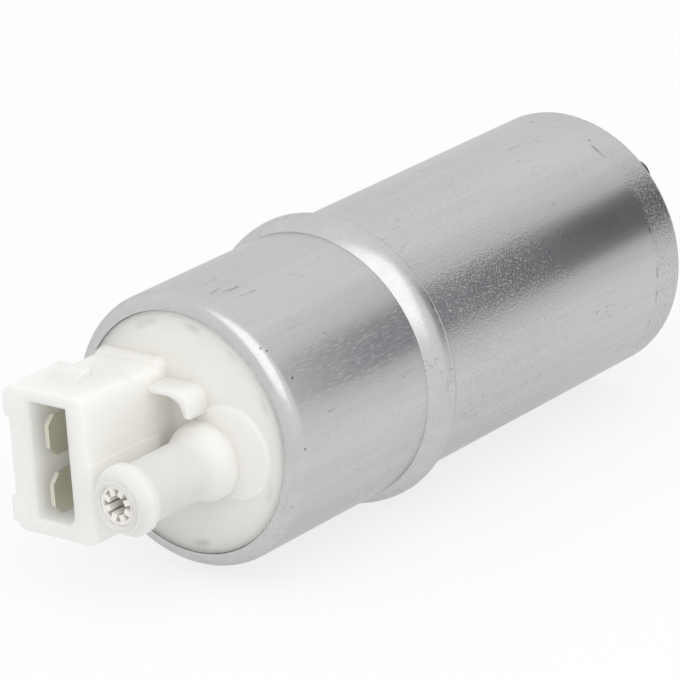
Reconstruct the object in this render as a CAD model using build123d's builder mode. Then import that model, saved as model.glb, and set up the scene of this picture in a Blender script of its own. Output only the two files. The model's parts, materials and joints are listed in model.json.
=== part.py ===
from build123d import *
import os
from math import cos, degrees, hypot, pi, radians, sin, sqrt

# Electric fuel pump in an aluminium tube, lying along Y, in millimetres.
# The outlet cap faces -Y and the inlet cover +Y. X is to the right and Z up, seen from the outlet.
# The origin is on the pump's axis, where the straight seat behind the tube's bead begins.

# Aluminium tube
tube_radius = 21.5
tube_wall = 1.1
tube_length = 98.1
outlet_lip_rounding = 2.2
outlet_lip_width = 2.45
inlet_lip_rounding = 0.6
inlet_lip_width = 3.0
bead_from_outlet = 35.6
bead_front_width = 4.2
bead_rear_width = 1.8
bead_height = 1.7
bead_fold_rear_width = 0.7
bead_fold_inset = 0.5
bead_rear_blend = 0.8

# Clearances
lip_gap = 0.15
slip_fit = 0.05
running_fit = 0.03
gear_play = 0.06
face_play = 0.04
seat_gap = 0.05
rotor_gap = 0.5
swing_gap = 0.3

# Outlet cap
cap_plate_thickness = 5.0
cap_barrel_length = 24.9
cap_skirt_wall = 1.75
cap_step_wall = 2.75
holder_depth = 7.0
platform_x = 9.0
platform_z = -1.4
platform_radius = 7.5
platform_height = 0.6
platform_slope = 30
corner_rib_right = 5.2
corner_rib_bottom = 4.5
corner_rib_top = 8.5
corner_rib_height = 4.5
corner_rib_wall = 1.1
corner_rib_root = 1.0
corner_rib_shoulder = 2.2
corner_rib_inner_rounding = 2.8
corner_rib_end_rounding = 0.4
corner_rib_edge_rounding = 0.3

# O-rings and their grooves
seal_groove_depth = 1.6
seal_groove_width = 2.4
seal_groove_setback = 6.5
seal_rounding = 0.7

# Plug connector
plug_x = -9.75
plug_z = -0.4
plug_width = 14.9
plug_height = 23.0
plug_rounding = 1.2
plug_reach = 19.0
plug_shroud_length = 11.1
plug_neck_inset = 2.0
plug_neck_trim = 0.4
plug_collar_rise = 0.4
plug_collar_length = 1.6
plug_collar_slope = 12
socket_wall_left = 4.0
socket_wall_right = 3.8
socket_wall_bottom = 2.4
socket_wall_top = 2.2
socket_depth = 11.0
socket_rounding = 1.0
socket_key_rounding = 2.0
socket_lead_in = 0.5
socket_lead_slope = 45
mouth_rounding = 0.4
cheek_top = 0.9
cheek_thickness = 0.4
cheek_root = 2.5
cheek_rear = 2.9
cheek_rounding = 0.3
rail_height = 4.2
rail_thickness = 0.95
rail_from_edge = 1.05
rail_rounding = 0.4
latch_x = -10.5
latch_width = 4.6
latch_height = 1.1
latch_root = 0.5
latch_from_mouth = 5.0
latch_ramp = 3.0
latch_length = 4.2
latch_rounding = 0.3

# Terminal blades
blade_width = 6.3
blade_thickness = 0.8
blade_from_left = 2.5
blade_from_top = 2.25
blade_from_bottom = 0.65
blade_recess = 1.1
blade_tail = 3.6
blade_chamfer = 1.4

# Outlet spigot
spigot_x = 4.7
spigot_z = -3.15
spigot_reach = 21.5
spigot_bore = 3.1
spigot_nose_radius = 3.9
spigot_nose_length = 0.5
spigot_nose_step = 0.4
barb_radius = 5.5
barb_ramp = 2.4
barb_land = 1.2
barb_back = 0.5
neck_radius = 4.7
spigot_rounding = 0.3
dome_radius = 6.1
dome_foot = 2.2
dome_height = 5.0
dome_rounding = 4.5

# Check valve in the spigot
valve_seat_from_tip = 15.0
valve_passage_radius = 2.0
valve_head_radius = 2.6
valve_head_length = 2.1
valve_cone_gap = 0.1
valve_stem_radius = 0.85
valve_stem_length = 8.4
valve_stem_play = 0.1
valve_cage_from_tip = 0.5
valve_cage_length = 7.1
valve_cage_wall = 0.55
valve_guide_radius = 1.75
valve_guide_length = 2.0
valve_rib_width = 0.9
valve_rib_count = 8
valve_rib_turn = 22
valve_spring_radius = 1.45
valve_spring_wire = 0.3
valve_spring_turns = 5

# Brush holder and brushes
holder_flange_thickness = 3.0
holder_leg_half_angle = 9
holder_leg_count = 3
holder_leg_turn = 30
holder_boss_radius = 6.2
holder_window_inner = 8.0
holder_window_outer = 16.0
holder_window_half_angle = 34
brush_offset = 8.5
brush_width = 6.0
brush_height = 4.5
brush_length = 9.5
brush_fit = 0.05
brush_chamfer = 0.3
brush_guide_wall = 1.2
brush_guide_back = 1.2
brush_guide_gap = 1.2
brush_lead_radius = 0.5
brush_lead_from_back = 2.4
brush_lead_bend = 0.7
brush_slot_width = 1.4
brush_spring_radius = 1.6
brush_spring_wire = 0.35
brush_spring_turns = 4

# Suppression chokes
choke_core_radius = 1.4
choke_core_length = 9.0
choke_wire = 0.35
choke_pitch = 1.2
choke_turns = 6
choke_setback = 0.6
choke_end = 0.8

# Shaft, bushes and washer
shaft_radius = 2.0
shaft_flat = 1.5
bush_wall = 2.0
outlet_bush_length = 6.0
outlet_bush_recess = 2.0
shaft_stub = 0.5
washer_wall = 1.7
washer_thickness = 0.5

# Commutator
segment_count = 8
segment_inner = 4.9
segment_outer = 11.5
segment_thickness = 2.2
segment_gap = 0.6
hook_width = 1.4
hook_reach = 1.2
hook_length = 1.5
hub_radius = 4.4
hub_flange_thickness = 2.0
hub_nose = 2.3
hub_tail = 2.3

# Armature
core_setback = 10.0
core_tail_gap = 9.0
slot_count = 8
slot_root_offset = 6.8
slot_root_radius = 1.2
slot_tip_wall = 0.9
slot_head_radius = 2.6
slot_mouth = 2.0
insulator_thickness = 0.8
insulator_rim = 0.3
sleeve_wall = 2.3
sleeve_end_play = 0.4
slot_lining = 0.25
end_turn_length = 5.0
end_turn_rounding = 2.0

# Magnets, clips and flux ring
flux_ring_wall = 1.95
magnet_thickness = 3.75
magnet_half_angle = 62
magnet_overhang = 3.0
clip_leaf = 0.45
clip_from_magnet_face = 0.65
clip_inset = 3.0

# Gear pump
pump_plate_thickness = 6.0
gear_width = 7.0
port_plate_thickness = 3.5
lobe_count = 7
lobe_circle = 11.5
lobe_radius = 2.5
gear_offset = 1.4
outer_gear_wall = 2.9
port_radius = 9.3
port_width = 3.0
port_half_angle = 50
profile_steps = 12
drive_pin_radius = 0.8
drive_pin_length = 9.0
dowel_radius = 1.0
dowel_depth = 3.0

# Impeller stage and inlet cover
cover_thickness = 8.9
cover_face_height = 0.6
cover_seal_setback = 1.6
impeller_radius = 13.9
impeller_thickness = 2.8
vane_count = 30
vane_gap_width = 2.0
vane_depth = 2.9
vane_web = 0.5
channel_inner = 10.6
channel_outer = 13.6
channel_depth = 1.5
channel_half_angle = 150
inlet_angle = 229
inlet_from_lip = 1.4
inlet_bore = 5.5
inlet_collar_wall = 1.7
inlet_collar_height = 3.0
peg_angle = 49.5
peg_from_lip = 2.9
peg_radius = 2.6
peg_length = 8.5
peg_chamfer = 0.4
thrust_pad_radius = 2.5
thrust_pad_thickness = 1.5

# Relief valve
relief_passage_radius = 1.0
relief_ball_radius = 1.5
relief_bore_play = 0.15
relief_spring_radius = 1.2
relief_spring_wire = 0.3
relief_spring_turns = 6
relief_plug_length = 1.5
relief_plug_bore = 0.7

# Stations along Y, from the outlet to the inlet
outlet_rim = -bead_from_outlet - bead_rear_width - bead_rear_blend
inlet_rim = outlet_rim + tube_length
stack_front = outlet_rim + tube_wall
stack_rear = inlet_rim - tube_wall
cap_inner_face = outlet_rim + cap_plate_thickness
holder_front = cap_inner_face + holder_depth
holder_rear = holder_front + holder_flange_thickness
cap_rear = stack_front + cap_barrel_length
cover_front = stack_rear - cover_thickness
port_front = cover_front - port_plate_thickness
gear_front = port_front - gear_width
plate_front = gear_front - pump_plate_thickness
cover_face = stack_rear + cover_face_height
plug_mouth = outlet_rim - plug_reach
plug_shroud_rear = plug_mouth + plug_shroud_length
socket_floor = plug_mouth + socket_depth
spigot_tip = outlet_rim - spigot_reach
seal_front = stack_front + seal_groove_setback
guide_front = cap_inner_face + brush_guide_gap + brush_guide_back
bush_front = holder_front + outlet_bush_recess
bush_rear = bush_front + outlet_bush_length
washer_front = bush_rear + 2 * face_play
hub_front = washer_front + washer_thickness + face_play
segment_front = hub_front + hub_nose
segment_rear = segment_front + segment_thickness
hub_rear = segment_rear + hub_flange_thickness + hub_tail
brush_face = segment_front - seat_gap
brush_back = brush_face - brush_length
core_front = cap_rear + core_setback
core_rear = plate_front - core_tail_gap
shaft_front = bush_front - shaft_stub
impeller_front = cover_front + (swing_gap - 2 * face_play)
impeller_rear = impeller_front + impeller_thickness
chamber_rear = impeller_rear + swing_gap
shaft_rear = chamber_rear + swing_gap
thrust_front = shaft_rear + seat_gap
cover_seal_front = stack_rear - cover_seal_setback - seal_groove_width

# Radii that follow from the tube
outlet_lip_opening = tube_radius - outlet_lip_width
inlet_lip_opening = tube_radius - inlet_lip_width
tube_bore = tube_radius - tube_wall
barrel_radius = tube_bore - slip_fit
cap_skirt_bore = barrel_radius - cap_skirt_wall
cap_step_bore = barrel_radius - cap_step_wall
seal_groove_radius = barrel_radius - seal_groove_depth
flux_ring_bore = barrel_radius - flux_ring_wall
magnet_outer = flux_ring_bore - slip_fit
magnet_inner = magnet_outer - magnet_thickness
core_radius = magnet_inner - rotor_gap
slot_head_offset = core_radius - slot_tip_wall - slot_head_radius
bush_radius = shaft_radius + bush_wall
sleeve_radius = shaft_radius + sleeve_wall
impeller_chamber = impeller_radius + swing_gap

# Gear sizes that follow from the lobes
tooth_count = lobe_count - 1
inner_tooth_tip = lobe_circle + gear_offset - lobe_radius
outer_gear_root = inner_tooth_tip + gear_offset
outer_gear_radius = outer_gear_root + outer_gear_wall
gear_ring_bore = outer_gear_radius + gear_play
dowel_offset = (gear_ring_bore + barrel_radius) / 2
relief_z = (gear_offset - gear_ring_bore - barrel_radius) / 2
relief_bore = relief_ball_radius + relief_bore_play
relief_ball_y = (
    gear_front + seat_gap + sqrt(relief_ball_radius**2 - relief_passage_radius**2)
)
relief_spring_front = relief_ball_y - relief_spring_wire / 2
relief_spring_front += sqrt((relief_ball_radius + relief_spring_wire / 2) ** 2 - relief_spring_radius**2)
relief_plug_front = cover_front - relief_plug_length

# Plug connector edges
plug_left = plug_x - plug_width / 2
plug_right = plug_x + plug_width / 2
plug_bottom = plug_z - plug_height / 2
plug_top = plug_z + plug_height / 2
plug_neck_left = plug_left + plug_neck_inset
rail_offset = (plug_height - rail_height) / 2 - rail_from_edge

# Socket edges and blade places that follow from the plug connector
socket_left = plug_left + socket_wall_left
socket_right = plug_right - socket_wall_right
socket_bottom = plug_bottom + socket_wall_bottom
socket_top = plug_top - socket_wall_top
blade_x = socket_left + blade_from_left
blade_heights = [
    socket_top - blade_from_top - blade_width / 2,
    socket_bottom + blade_from_bottom + blade_width / 2,
]


def across(y):
    """The plane square to the pump's axis at y, with X to the right, Z up and -Y outwards."""
    return Plane(origin=(0, y, 0), x_dir=(1, 0, 0), z_dir=(0, -1, 0))


def polar(radius, angle):
    """The point at a radius and an angle in degrees, counted from X towards Z."""
    return (radius * cos(radians(angle)), radius * sin(radians(angle)))


def disc(y_from, y_to, radius, bore=0, centre=(0, 0), mode=Mode.ADD):
    """Add or cut a round slab between two stations, with an optional bore."""
    with BuildSketch(across(y_to)) as face:
        with Locations(centre):
            Circle(radius)
            if bore:
                Circle(bore, mode=Mode.SUBTRACT)
    extrude(face.sketch, amount=y_to - y_from, mode=mode)


def block(x_span, y_span, z_span, mode=Mode.ADD):
    """Add or cut a block between two values of each coordinate."""
    with BuildSketch(across(y_span[1])) as face:
        with Locations((sum(x_span) / 2, sum(z_span) / 2)):
            Rectangle(x_span[1] - x_span[0], z_span[1] - z_span[0])
    extrude(face.sketch, amount=y_span[1] - y_span[0], mode=mode)


def sector(y_from, y_to, inner, outer, middle, half_angle, mode=Mode.ADD):
    """Add or cut a slab that is a sector of a ring, about the pump's axis."""
    start = middle - half_angle
    end = middle + half_angle
    with BuildSketch(across(y_to)) as face:
        with BuildLine():
            CenterArc((0, 0), outer, start, 2 * half_angle)
            CenterArc((0, 0), inner, start, 2 * half_angle)
            Line(polar(inner, start), polar(outer, start))
            Line(polar(inner, end), polar(outer, end))
        make_face()
    extrude(face.sketch, amount=y_to - y_from, mode=mode)


def turned(*corners, centre=(0, 0), mode=Mode.ADD):
    """Add or cut a solid of revolution from its (radius, y) corners, about a line along Y."""
    across_x, up_z = centre
    with BuildSketch(Plane.XY.offset(up_z)) as outline:
        with BuildLine():
            Polyline(*[(across_x + radius, y) for radius, y in corners], close=True)
        make_face()
    line = Axis((across_x, 0, up_z), (0, 1, 0))
    revolve(outline.sketch, axis=line, mode=mode)


def seal_ring(front):
    """An O-ring squeezed between its groove and the tube."""
    with BuildPart() as ring:
        with BuildSketch(Plane.XY):
            with Locations(((seal_groove_radius + tube_bore) / 2, front + seal_groove_width / 2)):
                RectangleRounded(
                    tube_bore - seal_groove_radius,
                    seal_groove_width - 2 * slip_fit,
                    seal_rounding,
                )
        revolve(axis=Axis.Y)
    return ring.part


def seal_groove(front):
    """Cut an O-ring's groove into a barrel."""
    disc(front, front + seal_groove_width, tube_bore, seal_groove_radius, mode=Mode.SUBTRACT)


def coil(centre, y_from, y_to, coil_radius, wire_diameter, turns, start_angle=90):
    """A round wire wound about a line along Y between two seats, in quarter turns of two arcs."""
    wire_radius = wire_diameter / 2
    first = y_from + wire_radius + seat_gap
    last = y_to - wire_radius - seat_gap
    quarters = 4 * turns
    rise = (last - first) / (2 * pi * turns)
    slope = hypot(coil_radius, rise)

    def point(step):
        """The wire's centre after a number of quarter turns."""
        x, z = polar(coil_radius, start_angle + 90 * step)
        return Vector(centre[0] + x, first + (last - first) * step / quarters, centre[1] + z)

    def heading(step):
        """The wire's direction after a number of quarter turns."""
        x, z = polar(coil_radius, start_angle + 90 * (step + 1))
        return Vector(x, rise, z) / slope

    with BuildPart() as wire:
        with BuildLine() as path:
            for step in range(quarters):
                start, end = point(step), point(step + 1)
                leaving, arriving = heading(step), heading(step + 1)
                chord = end - start
                both = leaving + arriving
                spread = 2 * (1 - leaving.dot(arriving))
                reach = sqrt(chord.dot(both) ** 2 + spread * chord.dot(chord))
                reach = (reach - chord.dot(both)) / spread
                before = start + leaving * reach
                after = end - arriving * reach
                middle = (before + after) / 2
                TangentArc(start, middle, tangent=leaving)
                TangentArc(middle, end, tangent=after - before)
        with BuildSketch(Plane(origin=point(0), x_dir=(0, 1, 0), z_dir=heading(0))):
            Circle(wire_radius)
        sweep(path=path.line)
    return wire.part


def socket_outline(margin=0.0):
    """The socket's mouth, widened by a margin, with a larger corner low on the right."""
    with BuildSketch() as outline:
        with Locations(((socket_left + socket_right) / 2, (socket_bottom + socket_top) / 2)):
            Rectangle(
                socket_right - socket_left + 2 * margin,
                socket_top - socket_bottom + 2 * margin,
            )
        keyed, *others = outline.vertices().sort_by(Axis.Y).sort_by(Axis.X, reverse=True)
        fillet(keyed, radius=socket_key_rounding + margin)
        fillet(others, radius=socket_rounding + margin)
    return outline.sketch


def shaft_end_outline():
    """The shaft's section where it drives the impeller, with its flat on top."""
    with BuildSketch() as outline:
        Circle(shaft_radius)
        with Locations((0, shaft_flat + shaft_radius)):
            Rectangle(2 * shaft_radius, 2 * shaft_radius, mode=Mode.SUBTRACT)
    return outline.sketch


def port(y_from, y_to, middle):
    """Cut a curved port through a pump plate."""
    start = middle - port_half_angle
    with BuildSketch(across(y_to)) as face:
        SlotArc(
            CenterArc((0, gear_offset / 2), port_radius, start, 2 * port_half_angle, mode=Mode.PRIVATE),
            port_width,
        )
    extrude(face.sketch, amount=y_to - y_from, mode=Mode.SUBTRACT)


def slot_outline(lining=0.0):
    """One armature slot lying along X, drawn in by the thickness of its lining."""
    with BuildSketch() as outline:
        with Locations((slot_root_offset, 0)):
            Circle(slot_root_radius - lining)
        with Locations((slot_head_offset, 0)):
            Circle(slot_head_radius - lining)
        make_hull()
    return outline.sketch


def tooth_profile():
    """The inner gear's outline: the path of a lobe's centre, drawn in by the lobe and the play."""
    points = []
    steps = profile_steps * tooth_count
    for step in range(steps):
        turn = 2 * pi * step / steps
        x = lobe_circle * cos(turn) + gear_offset * cos(lobe_count * turn)
        z = lobe_circle * sin(turn) + gear_offset * sin(lobe_count * turn)
        along_x = -lobe_circle * sin(turn) - gear_offset * lobe_count * sin(lobe_count * turn)
        along_z = lobe_circle * cos(turn) + gear_offset * lobe_count * cos(lobe_count * turn)
        draw_in = (lobe_radius + gear_play) / hypot(along_x, along_z)
        radial = x - along_z * draw_in
        sideways = z + along_x * draw_in
        points.append((-sideways, radial))
    return points


pieces = []


def finish(part, name):
    """Label a finished piece and keep it for writing."""
    part.label = name
    pieces.append(part)


# Tube: rolled lip at the outlet, folded bead, crimped edge at the inlet

with BuildPart() as housing_tube:
    bead_middle = outlet_rim + bead_from_outlet
    bead_front = bead_middle - bead_front_width
    bead_rear = bead_middle + bead_rear_width
    fold_rear = bead_middle + bead_fold_rear_width
    fold_crest = tube_bore + bead_height
    lip_corner = tube_radius - outlet_lip_rounding
    with BuildSketch(Plane.XY) as tube_section:
        with BuildLine():
            Line((outlet_lip_opening, outlet_rim), (lip_corner, outlet_rim))
            CenterArc((lip_corner, outlet_rim + outlet_lip_rounding), outlet_lip_rounding, -90, 90)
            Line((tube_radius, outlet_rim + outlet_lip_rounding), (tube_radius, bead_front))
            crest = (tube_radius + bead_height, bead_middle)
            TangentArc(crest, (tube_radius, bead_front), tangent=(0, -1))
            TangentArc(crest, (tube_radius, bead_rear), tangent=(0, 1))
            Line((tube_radius, bead_rear), (tube_radius, inlet_rim - inlet_lip_rounding))
            CenterArc(
                (tube_radius - inlet_lip_rounding, inlet_rim - inlet_lip_rounding),
                inlet_lip_rounding,
                0,
                90,
            )
            Polyline(
                (tube_radius - inlet_lip_rounding, inlet_rim),
                (inlet_lip_opening, inlet_rim),
                (inlet_lip_opening, stack_rear),
                (tube_bore, stack_rear),
                (tube_bore, fold_rear),
                (fold_crest - bead_fold_rear_width, fold_rear),
            )
            inner_crest = (fold_crest, bead_middle)
            TangentArc(inner_crest, (fold_crest - bead_fold_rear_width, fold_rear), tangent=(0, 1))
            TangentArc(inner_crest, (tube_bore, bead_front + bead_fold_inset), tangent=(0, -1))
            Line(
                (tube_bore, bead_front + bead_fold_inset),
                (tube_bore, outlet_rim + outlet_lip_rounding),
            )
            CenterArc(
                (lip_corner, outlet_rim + outlet_lip_rounding),
                outlet_lip_rounding - tube_wall,
                -90,
                90,
            )
            Polyline(
                (lip_corner, stack_front),
                (outlet_lip_opening, stack_front),
                (outlet_lip_opening, outlet_rim),
            )
        make_face()
        bead_foot = tube_section.vertices().sort_by_distance((tube_radius, bead_rear, 0))[0]
        fillet(bead_foot, radius=bead_rear_blend)
    revolve(axis=Axis.Y)
finish(housing_tube.part, "housing_tube")


# Outlet cap: disc, barrel, plug connector, corner rib, spigot and valve seat

spigot = (spigot_x, spigot_z)
valve_seat = spigot_tip + valve_seat_from_tip
valve_seat_rise = spigot_bore - valve_passage_radius

with BuildPart() as outlet_cap:
    turned(
        (0, outlet_rim),
        (outlet_lip_opening - lip_gap, outlet_rim),
        (outlet_lip_opening - lip_gap, stack_front),
        (lip_corner - slip_fit, stack_front),
        (barrel_radius, stack_front + outlet_lip_rounding - tube_wall + slip_fit),
        (barrel_radius, cap_rear),
        (cap_skirt_bore, cap_rear),
        (cap_skirt_bore, holder_front),
        (cap_step_bore, holder_front),
        (cap_step_bore, cap_inner_face),
        (0, cap_inner_face),
    )
    seal_groove(seal_front)

    # Low platform round the spigot's foot
    with BuildSketch(across(outlet_rim)):
        with Locations((platform_x, platform_z)):
            Circle(platform_radius)
    extrude(amount=platform_height, taper=platform_slope)

    # Plug connector: shroud, narrower neck with a collar on top of its foot, lower cheek and two rails
    with BuildSketch(across(plug_shroud_rear)):
        with Locations((plug_x, plug_z)):
            RectangleRounded(plug_width, plug_height, plug_rounding)
    extrude(amount=plug_shroud_length)
    with BuildSketch(across(outlet_rim)):
        with Locations(((plug_neck_left + plug_right) / 2, plug_z)):
            RectangleRounded(
                plug_right - plug_neck_left,
                plug_height - 2 * plug_neck_trim,
                plug_rounding,
            )
    extrude(amount=outlet_rim - plug_shroud_rear)
    with BuildSketch(across(outlet_rim)):
        collar_top = plug_top + plug_collar_rise
        with Locations(((plug_neck_left + plug_right) / 2, (plug_z + collar_top) / 2)):
            RectangleRounded(plug_right - plug_neck_left, collar_top - plug_z, plug_rounding)
    extrude(amount=plug_collar_length, taper=plug_collar_slope)
    with BuildSketch(across(outlet_rim - cheek_rear)) as cheek:
        cheek_width = cheek_root + cheek_thickness
        with Locations((plug_right + cheek_thickness - cheek_width / 2, (cheek_top + plug_bottom) / 2)):
            Rectangle(cheek_width, cheek_top - plug_bottom)
        lower_corner, upper_corner = cheek.vertices().group_by(Axis.X)[-1].sort_by(Axis.Y)
        fillet(lower_corner, radius=plug_rounding)
        fillet(upper_corner, radius=cheek_rounding)
    extrude(amount=plug_reach - cheek_rear)
    for side in (1, -1):
        with BuildSketch(across(plug_shroud_rear)):
            with Locations((plug_left, plug_z + side * rail_offset)):
                RectangleRounded(2 * rail_thickness, rail_height, rail_rounding)
        extrude(amount=plug_shroud_length)
    mouth_edges = outlet_cap.edges().filter_by_position(
        Axis.Y, plug_mouth - slip_fit, plug_mouth + slip_fit
    )
    fillet(mouth_edges, radius=mouth_rounding)

    # Latch ramp on top of the shroud
    latch_front = plug_mouth + latch_from_mouth
    with BuildSketch(Plane.YZ.offset(latch_x - latch_width / 2)):
        with BuildLine():
            Polyline(
                (latch_front, plug_top - latch_root),
                (latch_front, plug_top),
                (latch_front + latch_ramp, plug_top + latch_height),
                (latch_front + latch_length, plug_top + latch_height),
                (latch_front + latch_length, plug_top - latch_root),
                close=True,
            )
        make_face()
    extrude(amount=latch_width)
    latch_edges = outlet_cap.edges().filter_by_position(
        Axis.Z, plug_top + latch_height - slip_fit, plug_top + latch_height + slip_fit
    )
    fillet(latch_edges, radius=latch_rounding)

    # Corner rib between the plug connector and the spigot: out from the neck, then down
    rib_left = plug_right - corner_rib_root
    hollow_right = corner_rib_right - corner_rib_wall
    hollow_top = corner_rib_top - corner_rib_wall
    with BuildSketch(mode=Mode.PRIVATE) as rib_hollow:
        with Locations(((rib_left + hollow_right) / 2, (corner_rib_bottom + hollow_top) / 2)):
            Rectangle(hollow_right - rib_left, hollow_top - corner_rib_bottom)
        inner_corner = rib_hollow.vertices().group_by(Axis.X)[-1].sort_by(Axis.Y)[-1]
        fillet(inner_corner, radius=corner_rib_inner_rounding)
    with BuildSketch(across(outlet_rim)) as corner_rib:
        with Locations(
            ((rib_left + corner_rib_right) / 2, (corner_rib_bottom + corner_rib_top) / 2)
        ):
            Rectangle(corner_rib_right - rib_left, corner_rib_top - corner_rib_bottom)
        lower_corner, upper_corner = corner_rib.vertices().group_by(Axis.X)[-1].sort_by(Axis.Y)
        fillet(upper_corner, radius=corner_rib_shoulder)
        fillet(lower_corner, radius=corner_rib_end_rounding)
        add(rib_hollow.sketch, mode=Mode.SUBTRACT)
    extrude(amount=corner_rib_height)
    rib_face = outlet_rim - corner_rib_height
    rib_edges = outlet_cap.edges().filter_by_position(
        Axis.Y, rib_face - slip_fit, rib_face + slip_fit
    )
    fillet(rib_edges, radius=corner_rib_edge_rounding)

    # Spigot: nose, barb, neck and the dome that it swells into
    barb_shoulder = spigot_tip + barb_ramp + barb_land
    turned(
        (0, spigot_tip),
        (spigot_nose_radius, spigot_tip),
        (spigot_nose_radius, spigot_tip + spigot_nose_length),
        (spigot_nose_radius + spigot_nose_step, spigot_tip + spigot_nose_length),
        (barb_radius, spigot_tip + barb_ramp),
        (barb_radius, barb_shoulder),
        (neck_radius, barb_shoulder + barb_back),
        (neck_radius, outlet_rim - dome_height),
        (dome_radius, outlet_rim - dome_foot),
        (dome_radius, outlet_rim),
        (0, outlet_rim),
        centre=spigot,
    )
    for station in (outlet_rim - dome_height, outlet_rim - dome_foot):
        dome_edge = (
            outlet_cap.edges()
            .filter_by(GeomType.CIRCLE)
            .filter_by_position(Axis.Y, station - slip_fit, station + slip_fit)
        )
        fillet(dome_edge, radius=dome_rounding)
    tip_edge = outlet_cap.edges().filter_by(GeomType.CIRCLE).sort_by(Axis.Y)[0]
    fillet(tip_edge, radius=spigot_rounding)

    # Socket for the plug, with its lead-in
    with BuildSketch(across(socket_floor)):
        add(socket_outline())
    extrude(amount=socket_depth, mode=Mode.SUBTRACT)
    with BuildSketch(across(plug_mouth)):
        add(socket_outline(socket_lead_in))
    extrude(amount=-socket_lead_in, taper=socket_lead_slope, mode=Mode.SUBTRACT)
    for height in blade_heights:
        block(
            (blade_x - blade_thickness / 2, blade_x + blade_thickness / 2),
            (socket_floor, cap_inner_face),
            (height - blade_width / 2, height + blade_width / 2),
            mode=Mode.SUBTRACT,
        )

    # Fuel passage, valve seat and bore
    turned(
        (0, spigot_tip),
        (spigot_bore, spigot_tip),
        (spigot_bore, valve_seat),
        (valve_passage_radius, valve_seat + valve_seat_rise),
        (valve_passage_radius, cap_inner_face),
        (0, cap_inner_face),
        centre=spigot,
        mode=Mode.SUBTRACT,
    )
finish(outlet_cap.part, "outlet_cap")

finish(seal_ring(seal_front), "cap_seal_ring")


# Terminal blades, moulded into the cap

for polarity, height in zip(("positive", "negative"), blade_heights):
    with BuildPart() as terminal_blade:
        blade_tip = plug_mouth + blade_recess
        block(
            (blade_x - blade_thickness / 2, blade_x + blade_thickness / 2),
            (blade_tip, cap_inner_face + blade_tail),
            (height - blade_width / 2, height + blade_width / 2),
        )
        tip_edges = terminal_blade.edges().filter_by(Axis.X).group_by(Axis.Y)[0]
        chamfer(tip_edges, length=blade_chamfer)
    finish(terminal_blade.part, f"terminal_blade_{polarity}")


# Check valve: cage with ribs, poppet and spring

cage_front = spigot_tip + valve_cage_from_tip
cage_rear = cage_front + valve_cage_length
guide_bore = valve_stem_radius + valve_stem_play
cone_tip = valve_seat + valve_seat_rise
poppet_back = cone_tip - valve_head_length

with BuildPart() as check_valve_cage:
    disc(
        cage_front,
        cage_rear,
        spigot_bore - slip_fit,
        spigot_bore - valve_cage_wall,
        centre=spigot,
    )
    with BuildSketch(across(cage_rear)):
        with Locations(spigot):
            with PolarLocations(0, valve_rib_count, start_angle=valve_rib_turn):
                with Locations(((valve_guide_radius + spigot_bore - valve_cage_wall) / 2, 0)):
                    Rectangle(spigot_bore - valve_guide_radius, valve_rib_width)
    extrude(amount=valve_cage_length)
    disc(
        cage_rear - valve_guide_length,
        cage_rear,
        valve_guide_radius,
        centre=spigot,
    )
    disc(cage_front, cage_rear, guide_bore, centre=spigot, mode=Mode.SUBTRACT)
finish(check_valve_cage.part, "check_valve_cage")

with BuildPart() as check_valve_poppet:
    turned(
        (0, poppet_back - valve_stem_length),
        (valve_stem_radius, poppet_back - valve_stem_length),
        (valve_stem_radius, poppet_back),
        (valve_head_radius, poppet_back),
        (valve_head_radius, valve_seat + spigot_bore - valve_head_radius - valve_cone_gap),
        (valve_passage_radius - valve_cone_gap, cone_tip),
        (0, cone_tip),
        centre=spigot,
    )
finish(check_valve_poppet.part, "check_valve_poppet")

valve_spring_arguments = (valve_spring_radius, valve_spring_wire, valve_spring_turns)
finish(coil(spigot, cage_rear, poppet_back, *valve_spring_arguments), "check_valve_spring")


# Brush holder: flange, legs, bearing boss, two brush guides and two choke cradles

guide_width = brush_width + 2 * (brush_fit + brush_guide_wall)
guide_height = brush_height + 2 * (brush_fit + brush_guide_wall)
guide_rear = brush_face - brush_guide_wall
lead_y = brush_back + brush_lead_from_back
choke_front = cap_inner_face + blade_tail + choke_setback
choke_radius = choke_core_radius + slip_fit + choke_wire / 2
choke_outer = choke_radius + choke_wire / 2

with BuildPart() as brush_holder:
    disc(holder_front, holder_rear, cap_skirt_bore - slip_fit)
    disc(holder_front, bush_rear, holder_boss_radius)
    for leg in range(holder_leg_count):
        sector(
            holder_rear,
            cap_rear,
            cap_step_bore - slip_fit,
            cap_skirt_bore - slip_fit,
            holder_leg_turn + leg * 360 / holder_leg_count,
            holder_leg_half_angle,
        )
    for side in (1, -1):
        middle = side * brush_offset
        block(
            (-guide_width / 2, guide_width / 2),
            (guide_front - brush_guide_back, guide_rear),
            (middle - guide_height / 2, middle + guide_height / 2),
        )
    for side in (1, -1):
        middle = side * brush_offset
        half_width = brush_width / 2 + brush_fit
        half_height = brush_height / 2 + brush_fit
        block(
            (-half_width, half_width),
            (guide_front, guide_rear),
            (middle - half_height, middle + half_height),
            mode=Mode.SUBTRACT,
        )
        block(
            (-guide_width / 2, 0),
            (guide_front + brush_slot_width, guide_rear),
            (middle - brush_slot_width / 2, middle + brush_slot_width / 2),
            mode=Mode.SUBTRACT,
        )
    disc(holder_front, bush_front, shaft_radius + swing_gap, mode=Mode.SUBTRACT)
    disc(bush_front, bush_rear, bush_radius, mode=Mode.SUBTRACT)
    for height in blade_heights:
        disc(
            holder_front,
            holder_rear,
            choke_outer + slip_fit,
            centre=(blade_x, height),
            mode=Mode.SUBTRACT,
        )
    sector(
        holder_front,
        holder_rear,
        holder_window_inner,
        holder_window_outer,
        0,
        holder_window_half_angle,
        mode=Mode.SUBTRACT,
    )
finish(brush_holder.part, "brush_holder")


# Brushes with their springs and leads, and the chokes between the leads and the blades

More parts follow.
